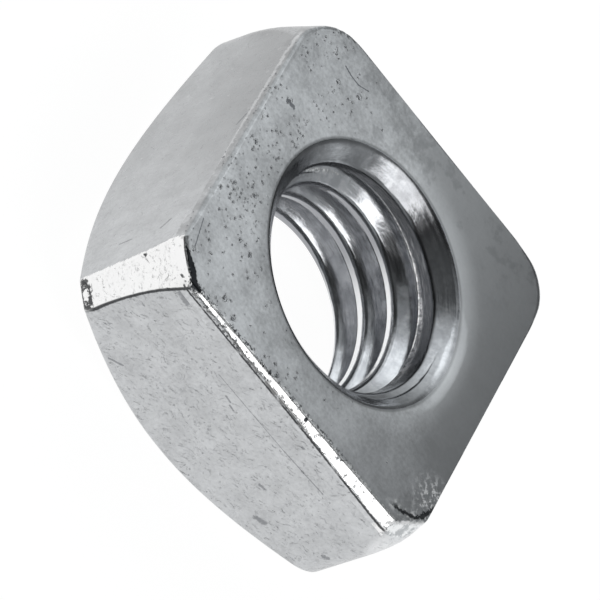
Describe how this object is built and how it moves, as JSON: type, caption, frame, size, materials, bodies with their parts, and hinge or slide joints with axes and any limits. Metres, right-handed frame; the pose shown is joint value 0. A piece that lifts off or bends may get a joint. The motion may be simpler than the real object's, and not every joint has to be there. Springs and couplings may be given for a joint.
{
  "type": "square nut",
  "caption": "Chamfered square nut in bright zinc plate, countersunk threaded hole, worn corners, lying on its chamfered face.",
  "frame": {"origin": "centre of the underside, on the axis of the threaded hole", "axes": "+Z along the thread axis, out of the flat bearing face; +X and +Y square to the flats, with the front corner of the picture at +X -Y"},
  "size_m": [0.01, 0.01, 0.0044],
  "materials": {
    "zinc_plated_steel": "bright zinc plate"
  },
  "bodies": {
    "root": {"square_nut": "zinc_plated_steel"}
  },
  "joints": []
}
